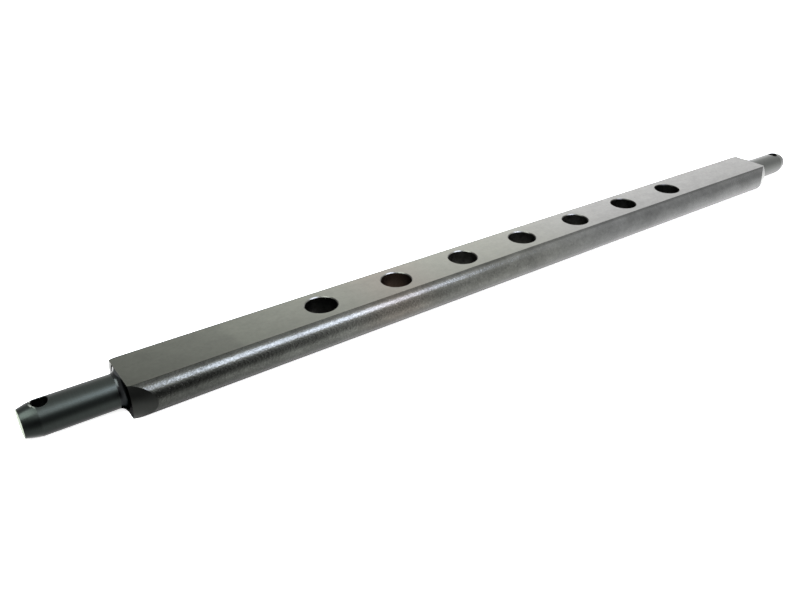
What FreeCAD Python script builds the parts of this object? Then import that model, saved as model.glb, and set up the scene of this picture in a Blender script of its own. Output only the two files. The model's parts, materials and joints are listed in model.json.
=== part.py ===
"""Category 2 cross drawbar for a tractor's three-point linkage.

A flat steel bar with crowned long sides and a row of coupling holes carries a
hitch pin at each end. Each pin's shank is set into a bore in the bar's end and
a fillet of weld runs round its root.

Frame: millimetres, +X along the bar, +Z up through the coupling holes, origin
at the centre of the middle hole, halfway through the bar.
"""

import FreeCAD, Part
import math
import os

from FreeCAD import Vector

# ---- driving dimensions ------------------------------------------------------

SHOULDER_SPAN = 825.0        # between the two end faces, Category 2

# bar section
BAR_THICKNESS = 30.0
FLAT_WIDTH = 45.0            # flat part of the top and bottom faces
SIDE_CROWN = 10.0            # how far each long side bulges past the flats
LONG_EDGE_RADIUS = 2.0

# coupling holes
HOLE_COUNT = 7
HOLE_PITCH = 79.4
HOLE_RADIUS = 14.5
HOLE_CHAMFER = 0.75

# the bar's ends are taper turned about the pin axis
END_FACE_RADIUS = 26.2
END_TAPER_DEG = 20.0

# bore in each end face that takes the pin's shank
SOCKET_RADIUS = 10.0
SOCKET_DEPTH = 45.0
DRILL_POINT_DEG = 118.0

# hitch pins
PIN_RADIUS = 14.0
PIN_LENGTH = 70.0            # from the bar's end face to the tip
NOSE_LENGTH = 11.5
NOSE_MID_DROP = 1.1          # how far the nose has closed in halfway along it
TIP_RADIUS = 11.2
SHANK_CLEARANCE = 0.02       # radial, in the bar's bore
SHANK_LENGTH = 44.0
SHANK_CHAMFER = 1.0

# linch pin hole across each hitch pin
LINCH_RADIUS = 6.0
LINCH_FROM_END_FACE = 55.0
LINCH_RIM_CHAMFER = 0.4

# fillet of weld round each pin's root, filling a bevel on the pin's shoulder
WELD_LEG = 4.5
WELD_THROAT_OFFSET = 1.5     # from the corner to the hollow face, on each axis
BEVEL_DEPTH = 3.0            # radial, at the shoulder

# ---- derived values ----------------------------------------------------------

HALF_SPAN = SHOULDER_SPAN / 2
HALF_THICKNESS = BAR_THICKNESS / 2
HALF_FLAT = FLAT_WIDTH / 2
BAR_REACH_Y = HALF_FLAT + SIDE_CROWN
TAPER_LENGTH = (BAR_REACH_Y + 1.0 - END_FACE_RADIUS) / math.tan(math.radians(END_TAPER_DEG))
HOLE_XS = [HOLE_PITCH * (i - (HOLE_COUNT - 1) / 2) for i in range(HOLE_COUNT)]

X_AXIS = Vector(1, 0, 0)
Z_AXIS = Vector(0, 0, 1)
SIDES = {"left": -1, "right": 1}


# ---- helpers -----------------------------------------------------------------

def line(start, end):
    """Straight edge between two points."""
    return Part.makeLine(start, end)


def arc(start, middle, end):
    """Circular edge through three points."""
    return Part.Arc(start, middle, end).toShape()


def turned(edges):
    """Solid turned about the pin axis from a closed outline in the XY plane."""
    face = Part.Face(Part.Wire(edges))
    return face.revolve(Vector(0, 0, 0), X_AXIS, 360)


def turned_from_points(points):
    """Solid turned about the pin axis from straight runs between (x, radius) points."""
    corners = [Vector(x, radius, 0) for x, radius in points]
    edges = [line(a, b) for a, b in zip(corners, corners[1:] + corners[:1])]
    return turned(edges)


def placed_at_end(shape, side):
    """Move a shape made outward from x = 0 to the left or right end face."""
    if SIDES[side] < 0:
        shape = shape.mirror(Vector(0, 0, 0), X_AXIS)
    return shape.translated(Vector(SIDES[side] * HALF_SPAN, 0, 0))


# ---- crossbar ----------------------------------------------------------------

def bar_blank():
    """Straight bar with flat top and bottom faces and crowned sides."""
    x = -HALF_SPAN
    top_back = Vector(x, HALF_FLAT, HALF_THICKNESS)
    top_front = Vector(x, -HALF_FLAT, HALF_THICKNESS)
    bottom_front = Vector(x, -HALF_FLAT, -HALF_THICKNESS)
    bottom_back = Vector(x, HALF_FLAT, -HALF_THICKNESS)
    section = Part.Wire([
        line(top_back, top_front),
        arc(top_front, Vector(x, -BAR_REACH_Y, 0), bottom_front),
        line(bottom_front, bottom_back),
        arc(bottom_back, Vector(x, BAR_REACH_Y, 0), top_back),
    ])
    bar = Part.Face(section).extrude(Vector(SHOULDER_SPAN, 0, 0))
    long_edges = [edge for edge in bar.Edges if abs(edge.Length - SHOULDER_SPAN) < 1e-6]
    return bar.makeFillet(LONG_EDGE_RADIUS, long_edges)


def turning_envelope():
    """The space left inside the tool's path: a taper at each end, clear of the bar between."""
    full_radius = END_FACE_RADIUS + TAPER_LENGTH * math.tan(math.radians(END_TAPER_DEG))
    return turned_from_points([
        (-HALF_SPAN, 0),
        (-HALF_SPAN, END_FACE_RADIUS),
        (-HALF_SPAN + TAPER_LENGTH, full_radius),
        (HALF_SPAN - TAPER_LENGTH, full_radius),
        (HALF_SPAN, END_FACE_RADIUS),
        (HALF_SPAN, 0),
    ])


def coupling_hole(x):
    """Cutter for one through hole with a chamfer at each face."""
    rim_radius = HOLE_RADIUS + HOLE_CHAMFER
    bore = Part.makeCylinder(HOLE_RADIUS, BAR_THICKNESS, Vector(x, 0, -HALF_THICKNESS), Z_AXIS)
    upper = Part.makeCone(HOLE_RADIUS, rim_radius, HOLE_CHAMFER,
                          Vector(x, 0, HALF_THICKNESS - HOLE_CHAMFER), Z_AXIS)
    lower = Part.makeCone(rim_radius, HOLE_RADIUS, HOLE_CHAMFER,
                          Vector(x, 0, -HALF_THICKNESS), Z_AXIS)
    return bore.fuse([upper, lower])


def shank_socket():
    """Cutter for a drilled blind bore, running inward from x = 0."""
    point_length = SOCKET_RADIUS / math.tan(math.radians(DRILL_POINT_DEG / 2))
    return turned_from_points([
        (0, 0),
        (0, SOCKET_RADIUS),
        (-SOCKET_DEPTH, SOCKET_RADIUS),
        (-SOCKET_DEPTH - point_length, 0),
    ])


def crossbar():
    """The drilled bar with its taper-turned ends."""
    bar = bar_blank().common(turning_envelope())
    cutters = [coupling_hole(x) for x in HOLE_XS]
    cutters += [placed_at_end(shank_socket(), side) for side in SIDES]
    return bar.cut(cutters)


# ---- hitch pins --------------------------------------------------------------

def pin_body():
    """The turned pin, with its shank running inward and its nose outward from x = 0."""
    shank_radius = SOCKET_RADIUS - SHANK_CLEARANCE
    nose_start = PIN_LENGTH - NOSE_LENGTH
    outline = [
        (-SHANK_LENGTH, 0),
        (-SHANK_LENGTH, shank_radius - SHANK_CHAMFER),
        (-SHANK_LENGTH + SHANK_CHAMFER, shank_radius),
        (0, shank_radius),
        (0, PIN_RADIUS - BEVEL_DEPTH),
        (WELD_LEG, PIN_RADIUS),
        (nose_start, PIN_RADIUS),
    ]
    corners = [Vector(x, radius, 0) for x, radius in outline]
    nose_middle = Vector(nose_start + NOSE_LENGTH / 2, PIN_RADIUS - NOSE_MID_DROP, 0)
    tip_rim = Vector(PIN_LENGTH, TIP_RADIUS, 0)
    tip_centre = Vector(PIN_LENGTH, 0, 0)
    edges = [line(a, b) for a, b in zip(corners, corners[1:])]
    edges.append(arc(corners[-1], nose_middle, tip_rim))
    edges.append(line(tip_rim, tip_centre))
    edges.append(line(tip_centre, corners[0]))
    return turned(edges)


def is_linch_rim(edge):
    """True for an edge where the linch pin hole breaks out through the pin's side."""
    box = edge.BoundBox
    across = 2 * LINCH_RADIUS
    one_side = box.ZMin * box.ZMax > 0
    return one_side and abs(box.YLength - across) < 0.01


def hitch_pin():
    """Pin with the linch pin hole drilled across it, its rims broken."""
    drill = Part.makeCylinder(LINCH_RADIUS, 4 * PIN_RADIUS,
                              Vector(LINCH_FROM_END_FACE, 0, -2 * PIN_RADIUS), Z_AXIS)
    drilled = pin_body().cut(drill)
    rims = [edge for edge in drilled.Edges if is_linch_rim(edge)]
    return drilled.makeChamfer(LINCH_RIM_CHAMFER, rims)


# ---- root welds --------------------------------------------------------------

def root_weld():
    """Hollow-faced weld round the pin's bevelled root, dressed flush with the bar's flats."""
    bevel_root = Vector(0, PIN_RADIUS - BEVEL_DEPTH, 0)
    face_toe = Vector(0, PIN_RADIUS + WELD_LEG, 0)
    throat = Vector(WELD_THROAT_OFFSET, PIN_RADIUS + WELD_THROAT_OFFSET, 0)
    pin_toe = Vector(WELD_LEG, PIN_RADIUS, 0)
    ring = turned([
        line(bevel_root, face_toe),
        arc(face_toe, throat, pin_toe),
        line(pin_toe, bevel_root),
    ])
    between_flats = Part.makeBox(2 * WELD_LEG, 2 * BAR_REACH_Y, BAR_THICKNESS,
                                 Vector(-WELD_LEG, -BAR_REACH_Y, -HALF_THICKNESS))
    return ring.common(between_flats)


# ---- nodes -------------------------------------------------------------------

def solid_of(shape):
    """The one solid that a node holds."""
    if len(shape.Solids) != 1 or not shape.isValid():
        raise ValueError("a node must be one valid solid")
    return shape.Solids[0]


def main():
    nodes = {"crossbar": crossbar()}
    for side in SIDES:
        nodes[side + "_hitch_pin"] = placed_at_end(hitch_pin(), side)
        nodes[side + "_root_weld"] = placed_at_end(root_weld(), side)
    os.makedirs("parts", exist_ok=True)
    for name, shape in nodes.items():
        solid = solid_of(shape)
        solid.exportStep("parts/" + name + ".step")
        print(name, round(solid.Volume), "mm3", solid.BoundBox)


main()
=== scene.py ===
"""Looks for the three-point linkage drawbar: dark oiled steel on a white studio floor."""

import json
import math

import bpy
from mathutils import Matrix, Vector


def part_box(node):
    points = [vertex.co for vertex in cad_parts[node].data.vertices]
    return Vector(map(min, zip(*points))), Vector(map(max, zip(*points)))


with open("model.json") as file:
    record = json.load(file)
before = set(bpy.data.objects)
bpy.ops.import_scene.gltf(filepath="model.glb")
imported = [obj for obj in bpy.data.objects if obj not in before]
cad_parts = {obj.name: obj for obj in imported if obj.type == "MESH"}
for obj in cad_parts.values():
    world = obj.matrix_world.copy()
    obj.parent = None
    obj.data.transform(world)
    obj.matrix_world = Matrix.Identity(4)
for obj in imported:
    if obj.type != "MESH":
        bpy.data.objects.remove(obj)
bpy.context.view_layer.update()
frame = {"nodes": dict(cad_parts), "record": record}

# ---- places and sizes, in metres -----------------------------------------------------

MM = 0.001

HALF_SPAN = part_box("crossbar")[1].x
HALF_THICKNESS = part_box("crossbar")[1].z
FLOOR_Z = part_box("crossbar")[0].z
TIP_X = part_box("right_hitch_pin")[1].x

MOUNTS = {mount["name"]: mount for mount in frame["record"]["mounts"]}
HOLE_X = sorted(mount["pos_m"][0] for name, mount in MOUNTS.items() if name.startswith("coupling_hole"))
HOLE_RADIUS = MOUNTS["coupling_hole_1"]["dims"]["r_mm"] * MM
LINCH_X = MOUNTS["right_linch_pin_hole"]["pos_m"][0]

# ---- camera --------------------------------------------------------------------------

TARGET = Vector((-0.0564, 0.0, -0.0042))
AZIMUTH_DEG = -40.26
ELEVATION_DEG = 27.46
ROLL_DEG = 2.01
DISTANCE = 0.8207
SENSOR_MM = 36.0
LENS_MM = 36.11
SHIFT = (-0.1, -0.04)
CLIP = (0.01, 100.0)


def add_camera():
    """Camera at the reference viewing angle."""
    azimuth, elevation = math.radians(AZIMUTH_DEG), math.radians(ELEVATION_DEG)
    back = Vector((math.sin(azimuth) * math.cos(elevation),
                   -math.cos(azimuth) * math.cos(elevation),
                   math.sin(elevation)))
    right = (-back).cross(Vector((0, 0, 1))).normalized()
    turn = Matrix((right, back.cross(right), back)).transposed().to_4x4()
    roll = Matrix.Rotation(math.radians(ROLL_DEG), 4, "Z")
    data = bpy.data.cameras.new("camera")
    data.sensor_width = SENSOR_MM
    data.lens = LENS_MM
    data.shift_x, data.shift_y = SHIFT
    data.clip_start, data.clip_end = CLIP
    camera = bpy.data.objects.new("camera", data)
    camera.matrix_world = Matrix.Translation(TARGET + back * DISTANCE) @ turn @ roll
    bpy.context.scene.collection.objects.link(camera)
    bpy.context.scene.camera = camera


# ---- node helpers --------------------------------------------------------------------

class Tree:
    """A node tree that is written as nested calls: each call adds a node and gives its output."""

    NOISE_SPAN = (0.3, 0.7)    # nearly all of a noise's values lie between these

    def __init__(self, tree):
        self.tree = tree
        self.tree.nodes.clear()

    def add(self, kind, inputs=None, output=0, **settings):
        """Add one node. An input is a value or another node's output."""
        node = self.tree.nodes.new("ShaderNode" + kind)
        for name, value in settings.items():
            setattr(node, name, value)
        for name, value in (inputs or {}).items():
            if isinstance(value, bpy.types.NodeSocket):
                self.tree.links.new(value, node.inputs[name])
            else:
                node.inputs[name].default_value = value
        return node.outputs[output] if node.outputs else None

    def math(self, operation, a, b=0.0):
        """One maths node."""
        return self.add("Math", {0: a, 1: b}, operation=operation)

    def total(self, first, *others):
        """Sum of numbers."""
        for other in others:
            first = self.math("ADD", first, other)
        return first

    def product(self, first, *others):
        """Product of numbers."""
        for other in others:
            first = self.math("MULTIPLY", first, other)
        return first

    def flip(self, value):
        """One minus a number."""
        return self.math("SUBTRACT", 1.0, value)

    def blend(self, factor, low, high):
        """Mix of two numbers."""
        return self.add("Mix", {0: factor, 2: low, 3: high}, data_type="FLOAT")

    def blend_colour(self, factor, low, high):
        """Mix of two colours."""
        return self.add("Mix", {0: factor, 6: low, 7: high}, output=2, data_type="RGBA")

    def scaled(self, colour, factor):
        """A colour made lighter or darker."""
        factors = self.add("CombineColor", {0: factor, 1: factor, 2: factor})
        return self.add("Mix", {0: 1.0, 6: colour, 7: factors},
                        output=2, data_type="RGBA", blend_type="MULTIPLY")

    def ramp(self, value, low, high):
        """Straight rise from 0 at low to 1 at high, held outside."""
        return self.add("MapRange", {"Value": value, "From Min": low, "From Max": high})

    def smooth(self, value, low, high):
        """Smooth rise from 0 at low to 1 at high, held outside."""
        return self.add("MapRange", {"Value": value, "From Min": low, "From Max": high},
                        interpolation_type="SMOOTHSTEP")

    def band(self, value, edges):
        """1 between the two middle edges, falling smoothly to 0 at the outer ones."""
        return self.product(self.smooth(value, *edges[:2]), self.flip(self.smooth(value, *edges[2:])))

    def around(self, value, centre, reach):
        """A soft hump: 1 at the centre, 0 further away than the reach."""
        distance = self.math("ABSOLUTE", self.math("SUBTRACT", value, centre))
        return self.flip(self.smooth(distance, 0.0, reach))

    def vary(self, stain, amount):
        """A factor near 1, which a stain from 0 to 1 moves up or down by the amount at most."""
        return self.blend(stain, self.flip(amount), self.math("ADD", 1.0, amount))

    def axis(self, vector, name):
        """One of a vector's three numbers, X, Y or Z."""
        return self.add("SeparateXYZ", {0: vector}, output=name)

    def length(self, a, b):
        """How far a point in a plane is from the plane's origin."""
        return self.math("SQRT", self.total(self.product(a, a), self.product(b, b)))

    def noise(self, where, scale, detail=2.0, rough=0.5):
        """Fractal noise around a half."""
        return self.add("TexNoise", {"Vector": where, "Scale": scale, "Detail": detail, "Roughness": rough})

    def spread(self, noise):
        """A noise spread out to fill 0 to 1."""
        return self.ramp(noise, *self.NOISE_SPAN)

    def stretched(self, where, x, y, z):
        """A position with its axes scaled. The smaller an axis's scale, the longer the features along it."""
        return self.add("Mapping", {"Vector": where, "Scale": (x, y, z)}, vector_type="POINT")

    def lines(self, where, x, y, z):
        """Fine tool marks, long along the axes whose scale is small."""
        return self.noise(self.stretched(where, x, y, z), scale=1.0)


def grey(value):
    """Neutral colour."""
    return (value, value, value, 1)


WHITE = grey(1.0)

# ---- steel: what the materials share -------------------------------------------------

# The bar is oily at its left end, stained in the middle and nearly clean at the right. These are the
# stretches of x where one gives way to the next.
OILY_TO_STAINED = (-0.36, -0.12)
STAINED_TO_CLEAN = (-0.06, 0.14)

HEAT_REACH = 0.06              # half the length of a brown heat tint
HEAT_STRENGTH = 0.6

CLOUD_STRETCH = 0.6            # scale along the bar, so that clouds and smudges are long
SMUDGE_STRETCH = 0.7
SMUDGE_FINENESS = 2.2          # smudges are this much finer than clouds
SMUDGE_SHARE = 0.45            # of clouds and smudges together
GRAIN_SHARE = 0.3              # of the whole


def new_material(name):
    """An empty node material with its tree and the object's own coordinates."""
    material = bpy.data.materials.new(name)
    material.use_nodes = True
    t = Tree(material.node_tree)
    return material, t, t.add("TexCoord", output="Object")


def finish(t, colour, roughness, relief, depth, glance=WHITE):
    """Bare metal. Relief from 0 to 1 stands as high as the depth, and glance tints glancing reflections."""
    shader = t.add("BsdfPrincipled", {
        "Base Color": colour,
        "Specular Tint": glance,
        "Metallic": 1.0,
        "Roughness": roughness,
        "Normal": t.add("Bump", {"Height": relief, "Strength": 1.0, "Distance": depth}),
    })
    t.add("OutputMaterial", {"Surface": shader})


def along(t, x, oily, stained, clean):
    """A colour that drifts along the bar."""
    colour = t.blend_colour(t.smooth(x, *OILY_TO_STAINED), oily, stained)
    return t.blend_colour(t.smooth(x, *STAINED_TO_CLEAN), colour, clean)


def heated(t, x, colour, centre, brown):
    """A colour with a brown heat tint round a place along the bar."""
    return t.blend_colour(t.product(t.around(x, centre, HEAT_REACH), HEAT_STRENGTH), colour, brown)


def mottle(t, where, coarse, fine):
    """Clouds from 0 to 1, and stains that add smudges and grain. All but the grain is long along the bar."""
    cloud_where = t.stretched(where, CLOUD_STRETCH, 1.0, 1.0)
    smudge_where = t.stretched(where, SMUDGE_STRETCH, 1.0, 1.0)
    cloud = t.spread(t.noise(cloud_where, scale=coarse, detail=5.0, rough=0.6))
    smudge = t.spread(t.noise(smudge_where, scale=SMUDGE_FINENESS * coarse, detail=3.0, rough=0.6))
    grain = t.spread(t.noise(where, scale=fine, rough=0.6))
    return cloud, t.blend(GRAIN_SHARE, t.blend(SMUDGE_SHARE, cloud, smudge), grain)


# ---- steel: flats --------------------------------------------------------------------

FLAT_HALF_WIDTH = 22.5 * MM
FLAT_COLOURS = {"oily": (0.059, 0.063, 0.051, 1), "stained": (0.068, 0.070, 0.058, 1),
                "clean": (0.082, 0.082, 0.079, 1)}
FLAT_BROWN = (0.075, 0.064, 0.053, 1)
FLAT_HEAT_X = -0.165
FLAT_STAINS = (0.20, 0.48)     # their strength at the left and at the right
FLAT_STAINS_GROW = (-0.10, 0.25)
FLAT_DARK_END = (-0.322, -0.311)
FLAT_DARK_END_TONE = 0.82
FLAT_DARK_END_WANDER = 10 * MM
FLAT_PAINTED_LIGHT_FRONT_TO_BACK = 0.12      # painted shade and light: the front is this much darker than the middle and the back lighter


def bar_flat():
    """Top and underside: satin flats, stained, with a darker left end and a faint brown heat tint."""
    material, t, where = new_material("bar_flat")
    x, y = t.axis(where, "X"), t.axis(where, "Y")
    cloud, stain = mottle(t, where, coarse=55.0, fine=320.0)
    colour = heated(t, x, along(t, x, **FLAT_COLOURS), FLAT_HEAT_X, FLAT_BROWN)
    stains = t.vary(stain, t.blend(t.smooth(x, *FLAT_STAINS_GROW), *FLAT_STAINS))
    past_dark_end = t.smooth(t.total(x, t.product(cloud, FLAT_DARK_END_WANDER)), *FLAT_DARK_END)
    dark_end = t.blend(past_dark_end, FLAT_DARK_END_TONE, 1.0)
    # painted shade at the front and painted light at the back
    painted_light_front_to_back = t.vary(t.ramp(y, -FLAT_HALF_WIDTH, FLAT_HALF_WIDTH), FLAT_PAINTED_LIGHT_FRONT_TO_BACK)
    finish(t, t.scaled(colour, t.product(stains, dark_end, painted_light_front_to_back)),
           roughness=t.blend(cloud, 0.31, 0.37),
           relief=t.noise(where, scale=650.0, rough=0.6), depth=0.02 * MM)
    return material


# ---- steel: crowned sides ------------------------------------------------------------

SIDE_COLOURS = {"oily": (0.043, 0.045, 0.041, 1), "stained": (0.045, 0.046, 0.042, 1),
                "clean": (0.044, 0.045, 0.0445, 1)}
SIDE_BROWN = (0.053, 0.046, 0.039, 1)
SIDE_HEAT_X = -0.175
SIDE_STAINS = 0.32
SIDE_CLOUDS = 0.10
SIDE_SPECKLE = 0.2
SIDE_GRAIN = (1.0, 0.5)        # strength of the rolled skin's grain at the left and at the right
SIDE_GRAIN_FADES = (-0.18, 0.08)
# Painted shade: the sides are darker near their top and bottom edges, between these heights.
SIDE_EDGE_SHADE_Z = (12.8 * MM, 14.2 * MM)
SIDE_EDGE_SHADE_TONE = 0.62
SIDE_LOW_Z = (-10.6 * MM, -8.0 * MM)         # below this, glancing reflections get painted shade for the floor's shadow
SIDE_LOW_SHADED_GLANCES = (grey(0.50), grey(0.70))  # at the left and at the right
SIDE_LOW_EASES = (0.0, 0.12)


def bar_side():
    """Crowned sides: rolled skin with painted shade along its edges and in its glancing reflections low down,
    grainy and olive toward the left.
    """
    material, t, where = new_material("bar_side")
    x, z = t.axis(where, "X"), t.axis(where, "Z")
    cloud, stain = mottle(t, where, coarse=34.0, fine=260.0)
    grain = t.noise(where, scale=560.0, rough=0.55)
    grain_strength = t.blend(t.smooth(x, *SIDE_GRAIN_FADES), *SIDE_GRAIN)
    colour = heated(t, x, along(t, x, **SIDE_COLOURS), SIDE_HEAT_X, SIDE_BROWN)
    stains = t.product(t.vary(stain, SIDE_STAINS), t.vary(cloud, SIDE_CLOUDS))
    speckle = t.vary(t.spread(grain), t.product(grain_strength, SIDE_SPECKLE))
    # painted shade along the top and bottom edges
    edge_shade = t.blend(t.smooth(t.math("ABSOLUTE", z), *SIDE_EDGE_SHADE_Z), 1.0, SIDE_EDGE_SHADE_TONE)
    low_shaded_glance = t.blend_colour(t.smooth(x, *SIDE_LOW_EASES), *SIDE_LOW_SHADED_GLANCES)
    finish(t, t.scaled(colour, t.product(stains, speckle, edge_shade)),
           roughness=t.blend(t.spread(grain), 0.29, 0.15),
           relief=t.product(grain, grain_strength), depth=0.14 * MM,
           glance=t.blend_colour(t.smooth(z, *SIDE_LOW_Z), low_shaded_glance, WHITE))
    return material


# ---- steel: coupling holes -----------------------------------------------------------

BORE_COLOURS = ((0.009, 0.009, 0.008, 1), (0.026, 0.026, 0.0235, 1))
BORE_TONES = (0.4, 2.1, 1.1)   # of the first hole, the next four and the last two
BORE_BROWN = (0.024, 0.0155, 0.0110, 1)
BORE_BROWN_REACH = 0.06
BORE_BROWN_STRENGTH = 0.85

RIM_COLOURS = ((0.055, 0.055, 0.050, 1), (0.095, 0.095, 0.088, 1))
RIM_DULLS = (-0.03, 0.25)
RIM_DULL = 0.30


def past_hole(t, x, number):
    """0 up to a coupling hole, counted from 1, and 1 from the next one on."""
    return t.smooth(x, HOLE_X[number - 1] + HOLE_RADIUS, HOLE_X[number] - HOLE_RADIUS)


def bar_bore():
    """Walls of the coupling holes: drilled and dark, darkest in the first, brown in the second."""
    material, t, where = new_material("bar_bore")
    x = t.axis(where, "X")
    lines = t.lines(where, 60.0, 60.0, 2200.0)
    stain = t.spread(t.noise(where, scale=160.0, detail=3.0, rough=0.6))
    brown = t.product(t.around(x, HOLE_X[1], BORE_BROWN_REACH), BORE_BROWN_STRENGTH)
    colour = t.blend_colour(brown, t.blend_colour(stain, *BORE_COLOURS), BORE_BROWN)
    first, next_four, last_two = BORE_TONES
    tone = t.blend(past_hole(t, x, 1), first, t.blend(past_hole(t, x, 5), next_four, last_two))
    finish(t, t.scaled(colour, tone), roughness=t.blend(lines, 0.36, 0.46), relief=lines, depth=0.03 * MM)
    return material


def hole_rim():
    """Chamfers of the coupling holes: cut bright on the left, duller toward the right."""
    material, t, where = new_material("hole_rim")
    speck = t.noise(where, scale=900.0)
    colour = t.blend_colour(t.spread(speck), *RIM_COLOURS)
    dull = t.smooth(t.axis(where, "X"), *RIM_DULLS)
    finish(t, t.scaled(colour, t.blend(dull, 1.0, RIM_DULL)), roughness=0.28, relief=speck, depth=0.03 * MM,
           glance=t.blend_colour(dull, WHITE, grey(RIM_DULL)))
    return material


# ---- steel: the bar's ends -----------------------------------------------------------

TAPER_COLOURS = ((0.029, 0.031, 0.029, 1), (0.038, 0.040, 0.037, 1))

# Painted shade: the end faces are dark and reflect dimly where the floor under the pin is in shadow.
END_SHADED = (0.012, 0.013, 0.013, 1)
END_UNSHADED = (0.060, 0.062, 0.056, 1)
END_UNSHADED_RADIUS = (19.5 * MM, 22.5 * MM)    # painted shade nearer the pin than this
END_UNSHADED_Y = (-4 * MM, 10 * MM)             # and further to the front than this
END_SHADED_GLANCE = grey(0.06)


def end_taper():
    """Turned ends of the bar: dark, with fine lines around the bar's axis."""
    material, t, where = new_material("end_taper")
    lines = t.lines(where, 2600.0, 40.0, 40.0)
    cloud = t.noise(where, scale=120.0, detail=4.0, rough=0.6)
    finish(t, t.blend_colour(t.blend(0.5, t.spread(lines), t.spread(cloud)), *TAPER_COLOURS),
           roughness=t.blend(cloud, 0.22, 0.30), relief=lines, depth=0.01 * MM)
    return material


def end_face():
    """Ends of the bar: turned bright, with painted shade in colour and glancing reflections round the weld
    and toward the front.
    """
    material, t, where = new_material("end_face")
    y, z = t.axis(where, "Y"), t.axis(where, "Z")
    cloud = t.noise(where, scale=160.0, detail=3.0, rough=0.6)
    # painted shade: 0 round the weld and toward the front, 1 elsewhere
    clean = t.product(t.smooth(t.length(y, z), *END_UNSHADED_RADIUS), t.smooth(y, *END_UNSHADED_Y))
    finish(t, t.blend_colour(clean, END_SHADED, END_UNSHADED),
           roughness=t.blend(cloud, 0.24, 0.30), relief=cloud, depth=0.01 * MM,
           glance=t.blend_colour(clean, END_SHADED_GLANCE, WHITE))
    return material


# ---- steel: pins ---------------------------------------------------------------------

PIN_GREENISH = (0.0243, 0.0285, 0.0265, 1)
PIN_GREY = (0.033, 0.035, 0.033, 1)
PIN_GREENISH_TO_GREY = (-0.1, 0.1)
PIN_SPECKLE = 0.12

TIP_COLOURS = ((0.034, 0.040, 0.033, 1), (0.050, 0.056, 0.047, 1))
TIP_GLANCE = (0.86, 0.96, 0.80, 1)

# A painted glint stands for light caught by the linch pin holes' outboard rims. It starts this far outboard
# of the linch pin hole's middle and ends this far from it. It is broken up where the noise is lower than
# this.
PAINTED_GLINT_OUTBOARD = (3.6 * MM, 5.2 * MM)
PAINTED_GLINT_RADIUS = (6.6 * MM, 7.6 * MM)
PAINTED_GLINT_NOISE = (0.36, 0.50)
PAINTED_GLINT_COLOUR = (0.30, 0.32, 0.29, 1)


def linch_painted_glint(t, where):
    """Painted glint on the linch pin holes' outboard rims, from 0 to 1."""
    outboard = t.math("SUBTRACT", t.math("ABSOLUTE", t.axis(where, "X")), LINCH_X)
    from_hole = t.length(outboard, t.axis(where, "Y"))
    return t.product(t.smooth(outboard, *PAINTED_GLINT_OUTBOARD), t.flip(t.smooth(from_hole, *PAINTED_GLINT_RADIUS)),
                     t.smooth(t.noise(where, scale=520.0, detail=1.0), *PAINTED_GLINT_NOISE))


def pin_skin():
    """Hitch pins: satin turned steel with very fine lines around the axis, greener on the oily left one."""
    material, t, where = new_material("pin_skin")
    lines = t.lines(where, 3000.0, 30.0, 30.0)
    speck = t.noise(where, scale=1400.0, rough=0.6)
    colour = t.blend_colour(t.smooth(t.axis(where, "X"), *PIN_GREENISH_TO_GREY), PIN_GREENISH, PIN_GREY)
    # painted glint on the linch pin holes' rims
    colour = t.blend_colour(linch_painted_glint(t, where), colour, PAINTED_GLINT_COLOUR)
    tone = t.vary(t.blend(0.4, t.spread(lines), t.spread(speck)), PIN_SPECKLE)
    finish(t, t.scaled(colour, tone), roughness=t.blend(speck, 0.28, 0.33), relief=lines, depth=0.012 * MM)
    return material


def pin_tip():
    """Flat tips of the pins: sawn, and greenish where they catch a glancing light."""
    material, t, where = new_material("pin_tip")
    cloud = t.noise(where, scale=240.0, detail=4.0, rough=0.6)
    finish(t, t.blend_colour(t.spread(cloud), *TIP_COLOURS),
           roughness=t.blend(cloud, 0.26, 0.34), relief=cloud, depth=0.03 * MM, glance=TIP_GLANCE)
    return material


# ---- steel: root welds ---------------------------------------------------------------

WELD_COLOURS = ((0.022, 0.024, 0.025, 1), (0.032, 0.034, 0.035, 1))
WELD_SHADED_AND_UNSHADED_GLANCES = (grey(0.08), grey(0.8))       # painted shade low down, unshaded above
WELD_UNSHADED_Z = (-4 * MM, 10 * MM)


def weld_skin():
    """Root fillets: smooth, dark and glossy, with painted shade in the glancing reflections of their lower
    half.
    """
    material, t, where = new_material("weld_skin")
    cloud = t.noise(where, scale=260.0, detail=3.0, rough=0.6)
    # painted shade: 0 low down, 1 higher up
    clean = t.smooth(t.axis(where, "Z"), *WELD_UNSHADED_Z)
    finish(t, t.blend_colour(t.spread(cloud), *WELD_COLOURS),
           roughness=t.blend(cloud, 0.18, 0.26), relief=cloud, depth=0.08 * MM,
           glance=t.blend_colour(clean, *WELD_SHADED_AND_UNSHADED_GLANCES))
    return material


# ---- steel: which face gets which ----------------------------------------------------

FACE_SLACK = 0.05 * MM
BORE_REACH = HOLE_RADIUS + 1.5 * MM    # the holes' walls and rims stay this near the bar's middle line
TAPER_REACH = 18 * MM                  # the turned tapers stay this near the end faces
RIM_TILT = 0.3                         # a rim faces up or down by more than this, a hole's wall by less
TAPER_TILT = 0.1                       # a taper faces outward by more than this, a side by less


def crossbar_face(centre, normal):
    """Which surface of the bar a face belongs to."""
    if abs(centre.x) > HALF_SPAN - FACE_SLACK:
        return "end"
    if abs(centre.z) > HALF_THICKNESS - FACE_SLACK:
        return "flat"
    if abs(centre.y) < BORE_REACH:
        return "bore" if abs(normal.z) < RIM_TILT else "rim"
    if abs(centre.x) > HALF_SPAN - TAPER_REACH and abs(normal.x) > TAPER_TILT:
        return "turned"
    return "side"


def pin_face(centre, normal):
    """Which surface of a hitch pin a face belongs to."""
    return "tip" if abs(centre.x) > TIP_X - FACE_SLACK else "pin"


def weld_face(centre, normal):
    """A root weld is all one surface."""
    return "weld"


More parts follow.
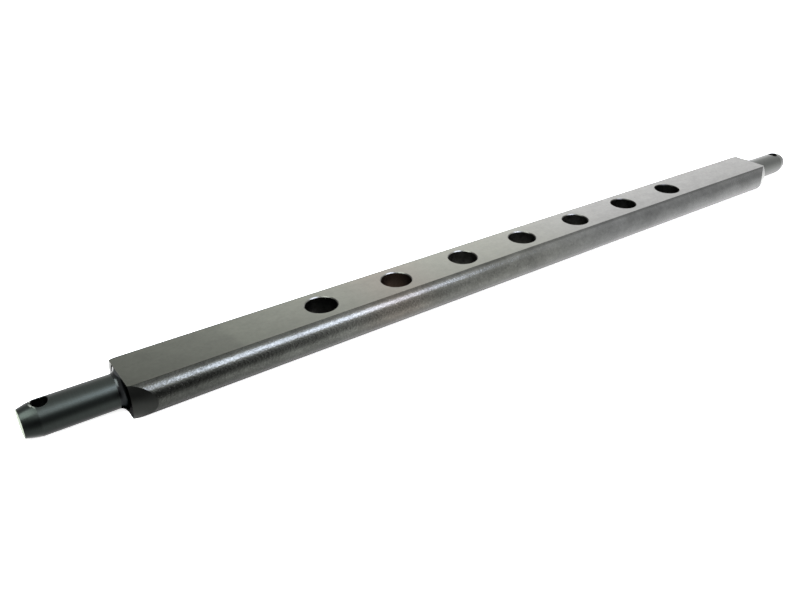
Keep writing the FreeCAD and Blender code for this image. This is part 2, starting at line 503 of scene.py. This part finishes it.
def paint_faces(node, materials, kind_of_face):
    """Give each face of a CAD node the material of its kind."""
    mesh = frame["nodes"][node].data
    mesh.materials.clear()
    kinds = list(materials)
    for kind in kinds:
        mesh.materials.append(materials[kind])
    for face in mesh.polygons:
        face.material_index = kinds.index(kind_of_face(face.center, face.normal))


def paint_steel():
    """Materials for every CAD node."""
    bar = {"flat": bar_flat(), "side": bar_side(), "bore": bar_bore(), "rim": hole_rim(),
           "turned": end_taper(), "end": end_face()}
    pin = {"pin": pin_skin(), "tip": pin_tip()}
    weld = {"weld": weld_skin()}
    paint_faces("crossbar", bar, crossbar_face)
    for side in ("left", "right"):
        paint_faces(side + "_hitch_pin", pin, pin_face)
        paint_faces(side + "_root_weld", weld, weld_face)


# ---- studio: softboxes ---------------------------------------------------------------

# A softbox faces the bar's axis and its middle is at x. It stands as far out from the axis as its reach, at
# a turn round it in degrees: 0 in front, 90 straight up.
SOFTBOXES = {
    "key": {"x": 0.16, "reach": 1.0, "turn": 57.0, "size": (0.68, 0.38),
            "brightness": 14.0, "colour": (0.93, 1.0, 1.30)},
    "fill": {"x": -1.95, "reach": 3.0, "turn": 86.0, "size": (1.6, 2.6),
             "brightness": 9.0, "colour": (0.94, 1.0, 0.96)},
}


def add_softbox(name, x, reach, turn, size, brightness, colour):
    """Soft light facing the bar's axis."""
    angle = math.radians(turn)
    data = bpy.data.lights.new(name, "AREA")
    data.shape = "RECTANGLE"
    data.size, data.size_y = size
    data.energy = brightness * math.pi * data.size * data.size_y
    data.color = colour
    light = bpy.data.objects.new(name, data)
    light.location = (x, -reach * math.cos(angle), reach * math.sin(angle))
    light.rotation_euler = (math.pi / 2 - angle, 0, 0)
    bpy.context.scene.collection.objects.link(light)


# ---- studio: floor -------------------------------------------------------------------

FLOOR_SIZE = 40.0
FLOOR_PAINT = grey(0.85)
FLOOR_GLOW = 0.8               # keeps the shadow under the bar faint


def add_floor():
    """Plain white floor under the bar. Reflections show the room below the horizon in its place."""
    half = FLOOR_SIZE / 2
    corners = [(-half, -half, 0), (half, -half, 0), (half, half, 0), (-half, half, 0)]
    mesh = bpy.data.meshes.new("floor")
    mesh.from_pydata(corners, [], [(0, 1, 2, 3)])
    floor = bpy.data.objects.new("floor", mesh)
    floor.location.z = FLOOR_Z
    floor.visible_glossy = False
    bpy.context.scene.collection.objects.link(floor)
    material = bpy.data.materials.new("floor")
    material.use_nodes = True
    t = Tree(material.node_tree)
    shader = t.add("BsdfPrincipled", {"Base Color": FLOOR_PAINT, "Roughness": 1.0,
                                      "Emission Color": WHITE, "Emission Strength": FLOOR_GLOW})
    t.add("OutputMaterial", {"Surface": shader})
    mesh.materials.append(material)


# ---- studio: room --------------------------------------------------------------------

# The room as reflections see it. A direction is told by its slant to the right, which is a cosine, and by
# its turn round the bar's axis in degrees: 0 at the front horizon, 90 straight up, 180 at the back, and less
# than 0 below the horizon. Two limits are a smooth rise, and four are a band with soft edges.
ROOM = (0.62, 1.1)             # at the left and from the middle on
ROOM_SLANT = (-0.50, 0.10)

WALL = 2.9                     # added by the lit wall on the right
WALL_SLANT = (0.06, 0.55)
WALL_FAR_CUT = 0.65            # share taken off the wall near the bar's own line
WALL_FAR_SLANT = (0.90, 0.98)
WALL_TOP_CUT = 0.6             # share taken off the wall's far part above the horizon
WALL_TOP_SLANT = (0.58, 0.90)
WALL_TOP_TURN = (-10.0, 40.0)

GROUND = 0.45                  # added below the horizon
GROUND_TURN = (-50.0, -15.0)

SWEEP = 0.85                   # added on the left, low behind, where the floor is lit
SWEEP_TURN = (-176.0, -160.0, -134.0, -112.0)
SWEEP_SLANT = (-0.06, 0.06)

GLOW = 3.0                     # added by the ceiling round the key softbox
GLOW_TURN = (26.0, 48.0, 60.0, 92.0)
GLOW_SLANT = (-0.35, -0.10, 0.20, 0.52)

SHADE_CUT = 0.65               # share taken off on the right, low behind, where the bar shades the floor
SHADE_TURN = (-115.0, -20.0)
SHADE_SLANT = (-0.02, 0.12)
SHADE_FAR_EASE = 0.7           # share of the shade that is gone near the bar's own line
SHADE_FAR_SLANT = (0.86, 0.95)

GAP_CUT = 0.93                 # share taken off round the front horizon, where the room is open
GAP_TURN = (-40.0, 0.0, 20.0, 46.0)
GAP_SLANT = (-0.90, -0.30, 0.24, 0.68)

BACKGROUND = 1.5               # what the camera sees past the floor


def less(t, value, where, share):
    """A value with a share taken off where something is."""
    return t.product(value, t.blend(where, 1.0, 1.0 - share))


def add_room():
    """White studio with a lit wall on the right, a bright ceiling in front and a dim gap below it."""
    world = bpy.data.worlds.new("studio")
    world.use_nodes = True
    bpy.context.scene.world = world
    t = Tree(world.node_tree)
    direction = t.add("TexCoord", output="Generated")
    slant = t.axis(direction, "X")
    angle = t.math("ARCTAN2", t.axis(direction, "Z"), t.product(t.axis(direction, "Y"), -1.0))
    turn = t.product(angle, math.degrees(1.0))

    room = t.blend(t.smooth(slant, *ROOM_SLANT), *ROOM)
    wall_top = t.product(t.smooth(slant, *WALL_TOP_SLANT), t.smooth(turn, *WALL_TOP_TURN))
    wall = less(t, t.product(t.smooth(slant, *WALL_SLANT), WALL), wall_top, WALL_TOP_CUT)
    wall = less(t, wall, t.smooth(slant, *WALL_FAR_SLANT), WALL_FAR_CUT)
    ground = t.product(t.flip(t.smooth(turn, *GROUND_TURN)), GROUND)
    sweep = t.product(t.band(turn, SWEEP_TURN), t.flip(t.smooth(slant, *SWEEP_SLANT)), SWEEP)
    glow = t.product(t.band(turn, GLOW_TURN), t.band(slant, GLOW_SLANT), GLOW)
    strength = t.total(room, wall, ground, sweep, glow)

    shade = t.product(t.flip(t.smooth(turn, *SHADE_TURN)), t.smooth(slant, *SHADE_SLANT))
    shade = less(t, shade, t.smooth(slant, *SHADE_FAR_SLANT), SHADE_FAR_EASE)
    gap = t.product(t.band(turn, GAP_TURN), t.band(slant, GAP_SLANT))
    strength = less(t, less(t, strength, shade, SHADE_CUT), gap, GAP_CUT)

    seen = t.add("LightPath", output="Is Camera Ray")
    shader = t.add("Background", {"Color": WHITE, "Strength": t.blend(seen, strength, BACKGROUND)})
    t.add("OutputWorld", {"Surface": shader})


# ---- scene ---------------------------------------------------------------------------

bpy.context.scene.view_settings.view_transform = "Standard"
add_camera()
paint_steel()
add_floor()
add_room()
for name, softbox in SOFTBOXES.items():
    add_softbox(name, **softbox)
